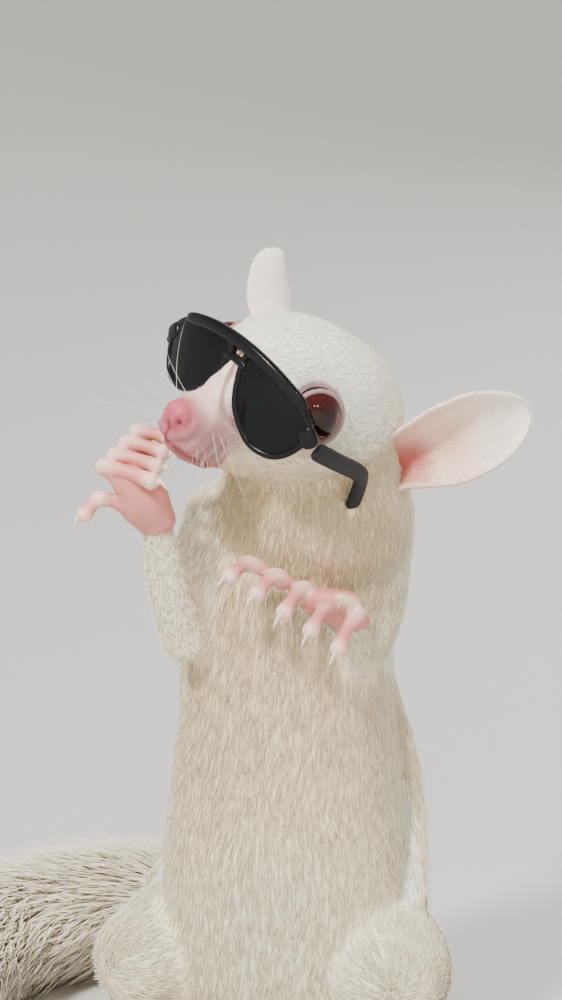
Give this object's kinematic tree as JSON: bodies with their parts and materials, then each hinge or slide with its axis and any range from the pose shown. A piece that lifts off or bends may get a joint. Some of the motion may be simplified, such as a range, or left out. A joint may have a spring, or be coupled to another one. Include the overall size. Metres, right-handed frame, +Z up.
{
  "type": "sugar glider",
  "caption": "Life-size cream-coated sugar glider sitting upright on its haunches, tail laid round its side, one paw raised to the mouth, wearing doll-size aviator sunglasses.",
  "frame": {"origin": "on the floor under the middle of the seated rump", "axes": "+Z up; -Y the way the body faces; +X the animal's left"},
  "size_m": [0.1171, 0.1068, 0.1352],
  "materials": {
    "fur_cream": "short dense cream-white fur, warmer on the throat and chest",
    "skin_pink": "bare pink skin of nose, hands and feet, with pale translucent claws",
    "ear_skin": "thin pink ear skin with pale fuzz and a deeper pink canal",
    "eye_ruby": "wet dark red-brown eye",
    "frame_black": "polished black moulded frame",
    "temple_grey": "satin dark grey temple arms",
    "lens_dark": "near-black glossy lens"
  },
  "bodies": {
    "root": {"glasses_front": "frame_black", "lens_left": "lens_dark", "temple_left": "temple_grey", "eye_left": "eye_ruby", "lens_right": "lens_dark", "temple_right": "temple_grey", "eye_right": "eye_ruby", "ear_left": "ear_skin", "ear_right": "ear_skin", "head": "fur_cream", "upper_arm_left": "fur_cream", "upper_arm_right": "fur_cream", "forearm_left": "fur_cream", "forearm_right": "fur_cream", "thigh_left": "fur_cream", "thigh_right": "fur_cream", "shin_left": "fur_cream", "shin_right": "fur_cream", "torso": "fur_cream", "neck": "fur_cream", "membrane_left": "fur_cream", "membrane_right": "fur_cream", "tail_1": "fur_cream", "tail_2": "fur_cream", "tail_3": "fur_cream", "tail_4": "fur_cream", "tail_5": "fur_cream", "nose": "skin_pink", "hand_left": "skin_pink", "hand_right": "skin_pink", "foot_left": "skin_pink", "foot_right": "skin_pink"}
  },
  "joints": []
}
